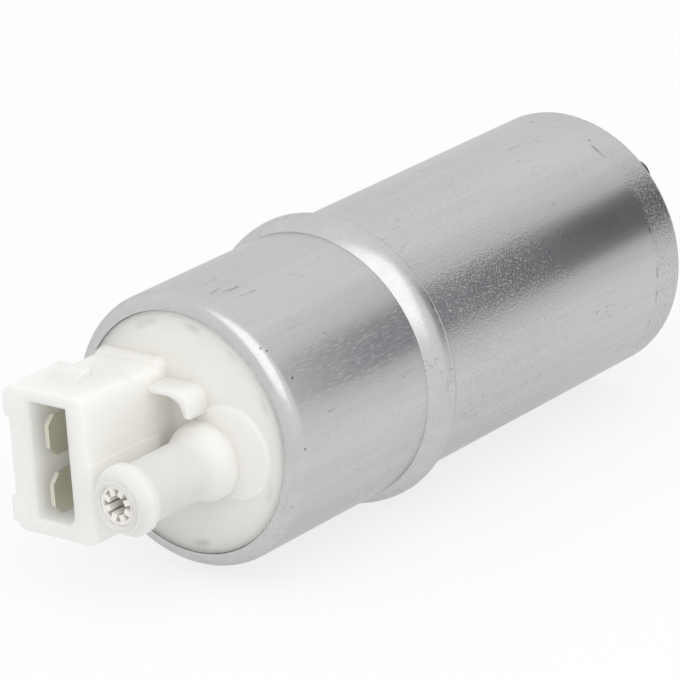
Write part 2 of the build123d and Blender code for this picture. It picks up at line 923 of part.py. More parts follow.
for polarity, side, height in zip(("positive", "negative"), (1, -1), blade_heights):
    middle = side * brush_offset
    with BuildPart() as brush:
        block(
            (-brush_width / 2, brush_width / 2),
            (brush_back, brush_face),
            (middle - brush_height / 2, middle + brush_height / 2),
        )
        chamfer(brush.edges().filter_by(Axis.Y), length=brush_chamfer)
    finish(brush.part, f"brush_{polarity}")

    brush_spring = coil(
        (0, middle),
        guide_front,
        brush_back,
        brush_spring_radius,
        brush_spring_wire,
        brush_spring_turns,
    )
    finish(brush_spring, f"brush_spring_{polarity}")

    with BuildPart() as brush_lead:
        lead_end = height + side * (choke_outer + brush_lead_radius / 2)
        with BuildLine() as lead_path:
            route = FilletPolyline(
                (-brush_width / 2 - seat_gap, lead_y, middle),
                (blade_x, lead_y, middle),
                (blade_x, lead_y, lead_end),
                radius=brush_lead_bend,
            )
        with BuildSketch(Plane(origin=route @ 0, z_dir=route % 0)):
            Circle(brush_lead_radius)
        sweep(path=lead_path.line)
    finish(brush_lead.part, f"brush_lead_{polarity}")

    with BuildPart() as choke_core:
        disc(choke_front, choke_front + choke_core_length, choke_core_radius, centre=(blade_x, height))
    finish(choke_core.part, f"choke_core_{polarity}")

    choke_coil = coil(
        (blade_x, height),
        choke_front + choke_end,
        choke_front + choke_end + choke_turns * choke_pitch + choke_wire,
        choke_radius,
        choke_wire,
        choke_turns,
    )
    finish(choke_coil, f"choke_coil_{polarity}")


# Bushes, shaft and thrust washer

with BuildPart() as outlet_bush:
    disc(bush_front, bush_rear, bush_radius, shaft_radius + running_fit)
finish(outlet_bush.part, "outlet_bush")

with BuildPart() as inlet_bush:
    disc(plate_front, gear_front, bush_radius, shaft_radius + running_fit)
finish(inlet_bush.part, "inlet_bush")

drive_pin_y = gear_front + face_play + drive_pin_radius
impeller_seat = impeller_front - face_play

with BuildPart() as armature_shaft:
    disc(shaft_front, impeller_seat, shaft_radius)
    with BuildSketch(across(shaft_rear)):
        add(shaft_end_outline())
    extrude(amount=shaft_rear - impeller_seat)
    with BuildSketch(Plane.YZ.offset(-shaft_radius)):
        with Locations((drive_pin_y, 0)):
            Circle(drive_pin_radius)
    extrude(amount=2 * shaft_radius, mode=Mode.SUBTRACT)
finish(armature_shaft.part, "armature_shaft")

with BuildPart() as thrust_washer:
    disc(
        washer_front,
        washer_front + washer_thickness,
        shaft_radius + washer_wall,
        shaft_radius,
    )
finish(thrust_washer.part, "thrust_washer")


# Flat commutator: copper segments with hooks on a moulded hub

with BuildPart() as commutator_segments:
    half_hook = degrees(hook_width / 2 / segment_outer)
    for number in range(segment_count):
        middle = (number + 0.5) * 360 / segment_count
        half_gap = degrees(segment_gap / (segment_inner + segment_outer))
        sector(
            segment_front,
            segment_rear,
            segment_inner,
            segment_outer,
            middle,
            180 / segment_count - half_gap,
        )
        sector(
            segment_rear - segment_thickness / 2,
            segment_rear + hook_length,
            segment_outer,
            segment_outer + hook_reach,
            middle,
            half_hook,
        )
finish(commutator_segments.part, "commutator_segments")

with BuildPart() as commutator_hub:
    disc(hub_front, hub_rear, hub_radius, shaft_radius)
    disc(segment_rear, segment_rear + hub_flange_thickness, segment_outer, shaft_radius)
finish(commutator_hub.part, "commutator_hub")


# Armature: slotted core, end insulators with shaft sleeves, winding

slot_shape = slot_outline()
filled_slot = slot_outline(slot_lining)

with BuildPart() as armature_core:
    with BuildSketch(across(core_rear)):
        Circle(core_radius)
        with PolarLocations(0, slot_count):
            add(slot_shape, mode=Mode.SUBTRACT)
            with Locations(((slot_head_offset + core_radius + slot_mouth) / 2, 0)):
                Rectangle(core_radius + slot_mouth - slot_head_offset, slot_mouth, mode=Mode.SUBTRACT)
        Circle(shaft_radius, mode=Mode.SUBTRACT)
    extrude(amount=core_rear - core_front)
finish(armature_core.part, "armature_core")

with BuildPart() as armature_insulators:
    for y_from, y_to, sleeve_from, sleeve_to in (
        (core_front - insulator_thickness, core_front, hub_rear, core_front),
        (core_rear, core_rear + insulator_thickness, core_rear, plate_front - sleeve_end_play),
    ):
        with BuildSketch(across(y_to)):
            Circle(core_radius - insulator_rim)
            with PolarLocations(0, slot_count):
                add(slot_shape, mode=Mode.SUBTRACT)
                with Locations(((slot_head_offset + core_radius) / 2, 0)):
                    Rectangle(core_radius - slot_head_offset, slot_mouth, mode=Mode.SUBTRACT)
            Circle(shaft_radius, mode=Mode.SUBTRACT)
        extrude(amount=insulator_thickness)
        disc(sleeve_from, sleeve_to, sleeve_radius, shaft_radius)
finish(armature_insulators.part, "armature_insulators")

with BuildPart() as armature_winding:
    bar_front = core_front - insulator_thickness
    bar_rear = core_rear + insulator_thickness
    with BuildSketch(across(bar_rear)):
        with PolarLocations(0, slot_count):
            add(filled_slot)
    extrude(amount=bar_rear - bar_front)
    bundle_outer = slot_head_offset + slot_head_radius - slot_lining
    bundle_inner = sleeve_radius + swing_gap
    for y_from, outward in ((bar_front, -1), (bar_rear, 1)):
        with BuildSketch(Plane.XY):
            with Locations(
                ((bundle_inner + bundle_outer) / 2, y_from + outward * end_turn_length / 2)
            ):
                RectangleRounded(
                    bundle_outer - bundle_inner,
                    end_turn_length,
                    end_turn_rounding,
                )
        revolve(axis=Axis.Y)
finish(armature_winding.part, "armature_winding")


# Stator: flux ring, two magnets and the clips between them

magnet_front = core_front - magnet_overhang
magnet_rear = core_rear + magnet_overhang

with BuildPart() as flux_ring:
    disc(cap_rear, plate_front, barrel_radius, flux_ring_bore)
finish(flux_ring.part, "flux_ring")

for place, middle in (("upper", 90), ("lower", 270)):
    with BuildPart() as magnet:
        sector(magnet_front, magnet_rear, magnet_inner, magnet_outer, middle, magnet_half_angle)
    finish(magnet.part, f"magnet_{place}")

with BuildPart() as magnet_clips:
    clip_half_angle = 90 - magnet_half_angle
    leaf_angle = degrees(clip_leaf / magnet_outer)
    clip_front = magnet_front + clip_inset
    clip_rear = magnet_rear - clip_inset
    clip_inner = magnet_inner + clip_from_magnet_face
    for middle in (0, 180):
        sector(clip_front, clip_rear, clip_inner, magnet_outer, middle, clip_half_angle)
        sector(
            clip_front,
            clip_rear,
            clip_inner - clip_leaf,
            magnet_outer - clip_leaf,
            middle,
            clip_half_angle - leaf_angle,
            mode=Mode.SUBTRACT,
        )
finish(magnet_clips.part, "magnet_clips")


# Gear pump: outlet plate, eccentric ring, lobed gears, drive pin and dowels

relief_centre = (0, relief_z)
dowel_places = [(dowel_offset, 0), (-dowel_offset, 0)]
gear_centre = (0, gear_offset)
plate_dowel_front = gear_front - dowel_depth

with BuildPart() as pump_plate:
    disc(plate_front, gear_front, barrel_radius, bush_radius)
    port(plate_front, gear_front, 0)
    disc(plate_front, gear_front, relief_passage_radius, centre=relief_centre, mode=Mode.SUBTRACT)
    for place in dowel_places:
        disc(plate_dowel_front, gear_front, dowel_radius, centre=place, mode=Mode.SUBTRACT)
finish(pump_plate.part, "pump_plate")

with BuildPart() as gear_ring:
    disc(gear_front, port_front, barrel_radius)
    disc(gear_front, port_front, gear_ring_bore, centre=gear_centre, mode=Mode.SUBTRACT)
    disc(gear_front, port_front, relief_bore, centre=relief_centre, mode=Mode.SUBTRACT)
    for place in dowel_places:
        disc(gear_front, port_front, dowel_radius, centre=place, mode=Mode.SUBTRACT)
finish(gear_ring.part, "gear_ring")

with BuildPart() as outer_gear:
    with BuildSketch(across(port_front - face_play)):
        with Locations(gear_centre):
            Circle(outer_gear_radius)
            Circle(outer_gear_root, mode=Mode.SUBTRACT)
            with PolarLocations(lobe_circle, lobe_count, start_angle=90):
                Circle(lobe_radius)
    extrude(amount=gear_width - 2 * face_play)
finish(outer_gear.part, "outer_gear")

with BuildPart() as inner_gear:
    with BuildSketch(across(port_front - face_play)):
        with BuildLine():
            Spline(*tooth_profile(), periodic=True)
        make_face()
        Circle(shaft_radius, mode=Mode.SUBTRACT)
    extrude(amount=gear_width - 2 * face_play)
    slot_rear = drive_pin_y + drive_pin_radius
    block(
        (-drive_pin_length / 2, drive_pin_length / 2),
        (gear_front, slot_rear),
        (-drive_pin_radius, drive_pin_radius),
        mode=Mode.SUBTRACT,
    )
finish(inner_gear.part, "inner_gear")

with BuildPart() as gear_drive_pin:
    with BuildSketch(Plane.YZ.offset(-drive_pin_length / 2)):
        with Locations((drive_pin_y, 0)):
            Circle(drive_pin_radius)
    extrude(amount=drive_pin_length)
finish(gear_drive_pin.part, "gear_drive_pin")

with BuildPart() as port_plate:
    disc(port_front, cover_front, barrel_radius, shaft_radius + swing_gap / 2)
    port(port_front, cover_front, 180)
    sector(
        cover_front - channel_depth,
        cover_front,
        channel_inner,
        channel_outer,
        0,
        channel_half_angle,
        mode=Mode.SUBTRACT,
    )
    disc(port_front, cover_front, relief_bore, centre=relief_centre, mode=Mode.SUBTRACT)
    for place in dowel_places:
        disc(port_front, cover_front, dowel_radius, centre=place, mode=Mode.SUBTRACT)
finish(port_plate.part, "port_plate")

with BuildPart() as pump_dowels:
    for place in dowel_places:
        disc(plate_dowel_front, cover_front + dowel_depth, dowel_radius, centre=place)
finish(pump_dowels.part, "pump_dowels")


# Relief valve: ball, spring and plug in the gear ring and the port plate

with BuildPart() as relief_valve_ball:
    with Locations((0, relief_ball_y, relief_z)):
        Sphere(relief_ball_radius)
finish(relief_valve_ball.part, "relief_valve_ball")

relief_spring = coil(
    relief_centre,
    relief_spring_front,
    relief_plug_front,
    relief_spring_radius,
    relief_spring_wire,
    relief_spring_turns,
)
finish(relief_spring, "relief_valve_spring")

with BuildPart() as relief_valve_plug:
    disc(relief_plug_front, cover_front, relief_bore, relief_plug_bore, centre=relief_centre)
finish(relief_valve_plug.part, "relief_valve_plug")


# Impeller stage and inlet cover

with BuildPart() as impeller:
    with BuildSketch(across(impeller_rear)):
        Circle(impeller_radius)
        add(shaft_end_outline(), mode=Mode.SUBTRACT)
    extrude(amount=impeller_thickness)
    pocket_depth = (impeller_thickness - vane_web) / 2
    with BuildSketch(across(impeller_rear), across(impeller_front + pocket_depth)):
        with PolarLocations(impeller_radius + (swing_gap - vane_depth) / 2, vane_count):
            Rectangle(vane_depth + swing_gap, vane_gap_width)
    extrude(amount=pocket_depth, mode=Mode.SUBTRACT)
finish(impeller.part, "impeller")

inlet = polar(inlet_lip_opening - inlet_from_lip - inlet_collar_wall - inlet_bore, inlet_angle)
peg = polar(inlet_lip_opening - peg_from_lip - peg_radius, peg_angle)

with BuildPart() as inlet_cover:
    disc(cover_front, stack_rear, barrel_radius)
    disc(stack_rear, cover_face, inlet_lip_opening - slip_fit)
    disc(cover_face, cover_face + inlet_collar_height, inlet_bore + inlet_collar_wall, centre=inlet)
    disc(cover_face, cover_face + peg_length, peg_radius, centre=peg)
    peg_tip = inlet_cover.edges().filter_by(GeomType.CIRCLE).sort_by(Axis.Y)[-1]
    chamfer(peg_tip, length=peg_chamfer)
    seal_groove(cover_seal_front)
    disc(cover_front, chamber_rear, impeller_chamber, mode=Mode.SUBTRACT)
    disc(chamber_rear, thrust_front + thrust_pad_thickness, thrust_pad_radius, mode=Mode.SUBTRACT)
    sector(
        chamber_rear,
        chamber_rear + channel_depth,
        channel_inner,
        channel_outer,
        180,
        channel_half_angle,
        mode=Mode.SUBTRACT,
    )
    disc(
        chamber_rear + channel_depth,
        cover_face + inlet_collar_height,
        inlet_bore,
        centre=inlet,
        mode=Mode.SUBTRACT,
    )
    disc(cover_front, cover_face, relief_passage_radius, centre=relief_centre, mode=Mode.SUBTRACT)
    for place in dowel_places:
        disc(cover_front, cover_front + dowel_depth, dowel_radius, centre=place, mode=Mode.SUBTRACT)
finish(inlet_cover.part, "inlet_cover")

finish(seal_ring(cover_seal_front), "cover_seal_ring")

with BuildPart() as thrust_pad:
    disc(thrust_front, thrust_front + thrust_pad_thickness, thrust_pad_radius)
finish(thrust_pad.part, "thrust_pad")


# Write one file per piece

os.makedirs("parts", exist_ok=True)
for piece in pieces:
    export_step(piece, f"parts/{piece.label}.step")
    print(piece.label, round(piece.volume, 2))
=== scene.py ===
import bpy
import bmesh
import json
import math
from mathutils import Matrix, Vector


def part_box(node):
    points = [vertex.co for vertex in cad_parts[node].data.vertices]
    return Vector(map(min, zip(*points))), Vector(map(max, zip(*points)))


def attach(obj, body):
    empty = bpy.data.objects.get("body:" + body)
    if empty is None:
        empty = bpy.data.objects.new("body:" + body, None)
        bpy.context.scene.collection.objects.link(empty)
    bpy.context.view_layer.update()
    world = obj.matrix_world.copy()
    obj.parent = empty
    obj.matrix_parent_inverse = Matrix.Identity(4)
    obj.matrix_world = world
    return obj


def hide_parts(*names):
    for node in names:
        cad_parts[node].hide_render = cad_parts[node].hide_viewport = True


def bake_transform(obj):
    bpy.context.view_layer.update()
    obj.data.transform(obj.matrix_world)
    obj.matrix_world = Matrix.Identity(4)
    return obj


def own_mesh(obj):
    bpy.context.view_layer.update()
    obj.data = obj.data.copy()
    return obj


# Electric fuel pump in a satin aluminium tube, lying on a pale floor.
# Everything is in metres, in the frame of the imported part: Y along the pump, Z up.
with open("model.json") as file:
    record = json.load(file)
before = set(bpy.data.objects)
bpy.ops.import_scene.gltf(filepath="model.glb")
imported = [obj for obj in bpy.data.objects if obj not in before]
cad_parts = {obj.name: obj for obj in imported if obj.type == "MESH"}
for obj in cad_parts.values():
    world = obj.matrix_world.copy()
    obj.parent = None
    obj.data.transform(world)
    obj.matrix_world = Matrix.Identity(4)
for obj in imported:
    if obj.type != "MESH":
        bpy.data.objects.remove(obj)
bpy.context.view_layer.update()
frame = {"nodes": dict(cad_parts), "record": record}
nodes = frame["nodes"]
MM = 0.001

# Places on the pump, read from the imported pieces
tube_low, tube_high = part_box("housing_tube")
outlet_rim = tube_low.y
bead_radius = tube_high.z

# View of the photograph
camera_place = Vector((440.2, -532.4, 252.7)) * MM
camera_target = Vector((20.6, -25.45, 14.0)) * MM
camera_roll = -4.1
camera_lens = 253.83
camera_sensor = 36
camera_clip = (0.05, 20)

# Light: an even white surround, a large softbox above the outlet and a graded card at one side
surround_level = 0.80
backdrop_level = 1.0
softbox_place = Vector((0.5, -0.4, 0.77))
softbox_size = 1.3
softbox_power = 3.7

# The graded card: its radius and reach along Y, then spans in degrees from X towards Z with their
# levels. Its dark band deepens between two stations along Y.
card_radius = 0.09
card_span = (-14, 86)
card_reach = (0.033, 0.26)
card_steps = 40
dark_begins = (3, 11)
dark_ends = (41, 51)
dark_stations = (0.03, 0.13)
dark_depths = (0.48, 0.82)
dark_colour = (0.93, 0.94, 1.0, 1)
low_part = (-16, -4)
low_levels = (0.95, 0.81)
top_part = (54, 86)
top_gain = 0.19

# The floor, and how the camera and the metal see it
floor_size = 6.0
floor_gap = 0.05 * MM
floor_colour = 0.92
floor_seen_colour = 0.25
floor_lift = 0.75


# Materials

class Finish:
    """A node material that is built up step by step on one Principled shader."""

    def __init__(self, name, colour, roughness, **sockets):
        self.material = bpy.data.materials.new(name)
        self.material.use_nodes = True
        self.tree = self.material.node_tree
        self.shader = self.tree.nodes["Principled BSDF"]
        self.shader.inputs["Roughness"].default_value = roughness
        self.shader.inputs["Base Color"].default_value = (*colour, 1)
        for socket, value in sockets.items():
            self.shader.inputs[socket.replace("_", " ")].default_value = value
        self.place = self.tree.nodes.new("ShaderNodeTexCoord").outputs["Object"]
        self.last_bump = None

    def add(self, kind, **settings):
        """A new node, with its plain settings."""
        made = self.tree.nodes.new(kind)
        for setting, value in settings.items():
            setattr(made, setting, value)
        return made

    def link(self, source, target):
        self.tree.links.new(source, target)

    def stretched(self, grain):
        """The object's coordinates, counted in grains of the given size along each axis."""
        mapping = self.add("ShaderNodeMapping")
        mapping.inputs["Scale"].default_value = [1 / size for size in grain]
        self.link(self.place, mapping.inputs["Vector"])
        return mapping.outputs["Vector"]

    def noise(self, grain, detail, distortion=0.0):
        """A value near a half that varies over the given size along each axis."""
        texture = self.add("ShaderNodeTexNoise")
        texture.inputs["Scale"].default_value = 1
        texture.inputs["Detail"].default_value = detail
        texture.inputs["Distortion"].default_value = distortion
        self.link(self.stretched(grain), texture.inputs["Vector"])
        return texture.outputs["Fac"]

    def cells(self, grain):
        """The distance to the nearest of points scattered a grain apart."""
        texture = self.add("ShaderNodeTexVoronoi")
        texture.inputs["Scale"].default_value = 1
        self.link(self.stretched(grain), texture.inputs["Vector"])
        return texture.outputs["Distance"]

    def ramp(self, value, low, high, to_low=0.0, to_high=1.0):
        """A value carried from one range to another, and held at its ends."""
        shaped = self.add("ShaderNodeMapRange", interpolation_type="SMOOTHSTEP")
        shaped.inputs["From Min"].default_value = low
        shaped.inputs["From Max"].default_value = high
        shaped.inputs["To Min"].default_value = to_low
        shaped.inputs["To Max"].default_value = to_high
        self.link(value, shaped.inputs["Value"])
        return shaped.outputs["Result"]

    def work(self, operation, first, second):
        """Two values, or a value and a number, put through one sum."""
        made = self.add("ShaderNodeMath", operation=operation)
        for socket, value in zip(made.inputs, (first, second)):
            if isinstance(value, (int, float)):
                socket.default_value = value
            else:
                self.link(value, socket)
        return made.outputs["Value"]

    def along(self, axis):
        """One of the object's coordinates."""
        split = self.add("ShaderNodeSeparateXYZ")
        self.link(self.place, split.inputs["Vector"])
        return split.outputs[axis]

    def spot(self, centre, radius, soft=0.5):
        """One inside a ball about a point, fading to nothing at its radius."""
        away = self.add("ShaderNodeVectorMath", operation="DISTANCE")
        self.link(self.place, away.inputs[0])
        away.inputs[1].default_value = centre
        return self.ramp(away.outputs["Value"], radius * soft, radius, 1, 0)

    def tint(self, value, colour, amount):
        """Lay a share of a colour over what is there, as far as the value says."""
        mix = self.add("ShaderNodeMix", data_type="RGBA")
        base = self.shader.inputs["Base Color"]
        if base.links:
            self.link(base.links[0].from_socket, mix.inputs["A"])
        else:
            mix.inputs["A"].default_value = base.default_value
        mix.inputs["B"].default_value = (*colour, 1)
        self.link(self.work("MULTIPLY", value, amount), mix.inputs["Factor"])
        self.link(mix.outputs["Result"], base)

    def roughen(self, value, low, high):
        """Let the roughness run from low to high with a value from 0 to 1."""
        self.link(self.ramp(value, 0, 1, low, high), self.shader.inputs["Roughness"])

    def bump(self, value, height, strength):
        """Raise the look of the surface by a height in metres where the value is 1."""
        made = self.add("ShaderNodeBump")
        made.inputs["Strength"].default_value = strength
        made.inputs["Distance"].default_value = height
        self.link(value, made.inputs["Height"])
        if self.last_bump:
            self.link(self.last_bump, made.inputs["Normal"])
        self.last_bump = made.outputs["Normal"]
        self.link(self.last_bump, self.shader.inputs["Normal"])


def around(radius, angle, y):
    """The point at a radius and an angle in degrees from X towards Z, at a station along Y."""
    turn = math.radians(angle)
    return Vector((radius * math.cos(turn), y, radius * math.sin(turn)))


# Marks on the tube: a line rolled in near the inlet, drawn as painted shade, and specks as radius,
# angle, station, size
crimp_station = 53.55 * MM
tube_specks = (
    (21.5 * MM, 46, -36.7 * MM, 0.32 * MM),
    (21.5 * MM, 44, -36.0 * MM, 0.26 * MM),
    (21.5 * MM, 30, -34.5 * MM, 0.32 * MM),
    (21.5 * MM, 2, -36.2 * MM, 0.28 * MM),
    (21.5 * MM, 66, 54.5 * MM, 0.30 * MM),
)
# Faint darker patches near the edge of the cap's disc, by angle, in a ring that fades to both sides
disc_dark_patches = (114, 108, 80, 56, 51, 30, 26, -22, -62, -82, -88)
dark_patch_radius = 17.4 * MM
dark_patch_reach = 2.4 * MM
dark_patch_ring = (16.2 * MM, 17.3 * MM, 18.4 * MM)


def satin_aluminium():
    """The drawn tube: lengthwise streaks, a hammered skin behind the bead and marks of handling."""
    metal = Finish(
        "satin_aluminium", (0.572, 0.573, 0.578), 0.27,
        Metallic=1.0, Specular_Tint=(0.82, 0.82, 0.82, 1),
    )
    station = metal.along("Y")
    clouds = metal.noise((9 * MM, 14 * MM, 9 * MM), detail=3)

    # Marks of drawing, and a few longer scratches
    streaks = metal.noise((0.35 * MM, 26 * MM, 0.35 * MM), detail=3)
    bands = metal.noise((2.2 * MM, 70 * MM, 2.2 * MM), detail=2)
    metal.tint(metal.ramp(streaks, 0.35, 0.75), (0.49, 0.49, 0.49), 0.35)
    metal.tint(metal.ramp(bands, 0.4, 0.7), (0.63, 0.63, 0.62), 0.35)
    lines = metal.noise((1.1 * MM, 15 * MM, 1.1 * MM), detail=1.5, distortion=0.4)
    lines = metal.work("ABSOLUTE", metal.work("SUBTRACT", lines, 0.5), 0)
    lines = metal.ramp(lines, 0.004, 0.011, 1, 0)
    scratched = metal.ramp(metal.noise((7 * MM, 9 * MM, 7 * MM), detail=2), 0.56, 0.64)
    metal.tint(metal.work("MULTIPLY", lines, scratched), (0.26, 0.26, 0.27), 0.55)

    # Pits and specks, and painted shade along the broken rolled line near the inlet
    pits = metal.ramp(metal.cells((2.6 * MM, 3.6 * MM, 2.6 * MM)), 0.035, 0.06, 1, 0)
    sparse = metal.ramp(clouds, 0.52, 0.60)
    metal.tint(metal.work("MULTIPLY", pits, sparse), (0.20, 0.20, 0.22), 0.7)
    for radius, angle, y, size in tube_specks:
        metal.tint(metal.spot(around(radius, angle, y), size), (0.16, 0.16, 0.16), 0.8)
    # The rolled line is painted shade: a dark broken line where its groove would fall in shade.
    from_crimp = metal.work("SUBTRACT", station, crimp_station)
    from_crimp = metal.work("MULTIPLY", from_crimp, from_crimp)
    on_crimp = metal.ramp(from_crimp, (0.15 * MM) ** 2, (0.4 * MM) ** 2, 1, 0)
    crimp_shade_breaks = metal.ramp(metal.noise((2.4 * MM, 2.4 * MM, 2.4 * MM), detail=3), 0.50, 0.64)
    metal.tint(metal.work("MULTIPLY", on_crimp, crimp_shade_breaks), (0.22, 0.22, 0.22), 0.6)

    # Matt grains behind the bead, which thin out and come back past the line
    past_crimp = metal.ramp(station, crimp_station - 1 * MM, crimp_station + 1 * MM)
    grown = metal.ramp(station, -8 * MM, 6 * MM)
    ended = metal.work("ADD", metal.ramp(station, 16 * MM, 44 * MM, 1.0, 0.12), past_crimp)
    hammered = metal.work("MULTIPLY", grown, ended)
    grains = metal.ramp(metal.noise((0.26 * MM, 0.30 * MM, 0.26 * MM), detail=2), 0.50, 0.66)
    grains = metal.work("MULTIPLY", grains, hammered)

    # Short strokes of a brush in front of the bead, faint on the lip
    strokes = metal.noise((0.22 * MM, 1.6 * MM, 0.22 * MM), detail=2)
    front = metal.ramp(station, -8 * MM, 2 * MM, 1, 0)
    front = metal.work("MULTIPLY", front, metal.ramp(station, -37.6 * MM, -36.2 * MM, 0.15, 1))
    brushed = metal.work("MULTIPLY", metal.ramp(strokes, 0.45, 0.68), front)

    matt = metal.work("MAXIMUM", grains, metal.work("MULTIPLY", brushed, 0.5))
    matt = metal.work("MAXIMUM", matt, metal.work("MULTIPLY", clouds, 0.35))
    metal.roughen(matt, 0.24, 0.58)
    peel = metal.noise((0.34 * MM, 0.42 * MM, 0.34 * MM), detail=2)
    metal.bump(metal.work("MULTIPLY", peel, hammered), 0.05 * MM, 1.0)
    metal.bump(metal.work("MULTIPLY", strokes, front), 0.010 * MM, 0.8)
    metal.bump(streaks, 0.004 * MM, 0.7)
    return metal.material


def white_acetal():
    """The moulded outlet cap."""
    plastic = Finish(
        "white_acetal", (0.922, 0.911, 0.872), 0.45,
        Subsurface_Weight=1.0, Subsurface_Radius=(0.92, 0.95, 1.0), Subsurface_Scale=5.5 * MM,
    )
    clouds = plastic.noise((6 * MM, 6 * MM, 6 * MM), detail=3)
    grain = plastic.noise((0.25 * MM, 0.25 * MM, 0.25 * MM), detail=2)
    plastic.tint(plastic.ramp(clouds, 0.35, 0.75), (0.85, 0.84, 0.79), 0.35)
    across, up = plastic.along("X"), plastic.along("Z")
    across_squared = plastic.work("MULTIPLY", across, across)
    up_squared = plastic.work("MULTIPLY", up, up)
    away_squared = plastic.work("ADD", across_squared, up_squared)
    inner, middle, outer = (radius ** 2 for radius in dark_patch_ring)
    past_inner = plastic.ramp(away_squared, inner, middle)
    before_outer = plastic.ramp(away_squared, middle, outer, 1, 0)
    ring = plastic.work("MULTIPLY", past_inner, before_outer)
    patches = 0
    for angle in disc_dark_patches:
        patch = plastic.spot(around(dark_patch_radius, angle, outlet_rim), dark_patch_reach, soft=0.1)
        patches = plastic.work("MAXIMUM", patches, patch)
    patch_breakup = plastic.ramp(plastic.noise((6 * MM, 6 * MM, 6 * MM), detail=1), 0.34, 0.66)
    dark_patches = plastic.work("MULTIPLY", plastic.work("MULTIPLY", ring, patches), patch_breakup)
    # Darker patches in a ring near the disc's edge, broken up by noise.
    plastic.tint(dark_patches, (0.38, 0.37, 0.34), 0.55)
    plastic.roughen(clouds, 0.36, 0.50)
    plastic.bump(grain, 0.004 * MM, 0.5)
    return plastic.material


def plain_plastic(name, colour, worn, roughness, **sockets):
    """A moulded plastic with a fine grain and a paler bloom."""
    plastic = Finish(name, colour, roughness, **sockets)
    clouds = plastic.noise((4 * MM, 4 * MM, 4 * MM), detail=3)
    skin = plastic.noise((0.3 * MM, 0.3 * MM, 0.3 * MM), detail=2)
    plastic.tint(plastic.ramp(clouds, 0.35, 0.75), worn, 0.5)
    plastic.roughen(clouds, roughness - 0.08, roughness + 0.08)
    plastic.bump(skin, 0.01 * MM, 0.5)
    return plastic.material


def plain_metal(name, colour, worn, roughness, grain, lay=None):
    """A metal whose tool marks lie along an axis, given by its number, or nowhere in particular."""
    metal = Finish(name, colour, roughness, Metallic=1.0)
    sizes = [grain] * 3
    if lay is not None:
        sizes[lay] = 40 * grain
    marks = metal.noise(sizes, detail=3)
    clouds = metal.noise((3 * MM, 3 * MM, 3 * MM), detail=3)
    metal.tint(metal.ramp(clouds, 0.35, 0.75), worn, 0.5)
    metal.roughen(clouds, roughness - 0.07, roughness + 0.07)
    metal.bump(marks, 0.006 * MM, 0.6)
    return metal.material


def pitted(name, colour, worn, roughness, metallic, pore):
    """A sintered or pressed part with open pores."""
    part = Finish(name, colour, roughness, Metallic=metallic)
    clouds = part.noise((2.5 * MM, 2.5 * MM, 2.5 * MM), detail=3)
    pores = part.ramp(part.cells((pore, pore, pore)), 0.2, 0.45)
    part.tint(part.ramp(clouds, 0.35, 0.75), worn, 0.5)
    part.roughen(clouds, roughness - 0.1, roughness + 0.1)
    part.bump(pores, 0.03 * MM, 0.6)
    return part.material


def wound_copper():
    """Lacquered winding wire, seen as a packed bundle with painted shade between its strands."""
    wire = Finish("enamelled_copper", (0.40, 0.13, 0.05), 0.3, Metallic=0.85, Coat_Weight=0.6)
    strands = wire.cells((0.4 * MM, 3 * MM, 0.4 * MM))
    clouds = wire.noise((3 * MM, 3 * MM, 3 * MM), detail=3)
    wire.tint(wire.ramp(clouds, 0.35, 0.7), (0.55, 0.21, 0.09), 0.6)
    # The gaps between the strands are painted darker, as painted shade between the round wires.
    wire.tint(wire.ramp(strands, 0.3, 0.6), (0.16, 0.05, 0.02), 0.6)
    wire.bump(wire.ramp(strands, 0.1, 0.6, 1, 0), 0.08 * MM, 0.8)
    return wire.material


# The wave texture's scale at which a band is one unit wide
unit_band_scale = 0.314


def laminated_steel():
    """A stack of thin sheets across the pump's axis."""
    stack = Finish("lamination_steel", (0.32, 0.32, 0.34), 0.4, Metallic=1.0)
    sheets = stack.add("ShaderNodeTexWave", wave_type="BANDS", bands_direction="Y")
    sheets.inputs["Scale"].default_value = unit_band_scale
    stack.link(stack.stretched((MM, MM, MM)), sheets.inputs["Vector"])
    clouds = stack.noise((3 * MM, 3 * MM, 3 * MM), detail=3)
    stack.tint(stack.ramp(sheets.outputs["Fac"], 0.0, 0.35, 1, 0), (0.10, 0.10, 0.11), 0.8)
    stack.roughen(clouds, 0.32, 0.5)
    stack.bump(sheets.outputs["Fac"], 0.03 * MM, 0.6)
    return stack.material


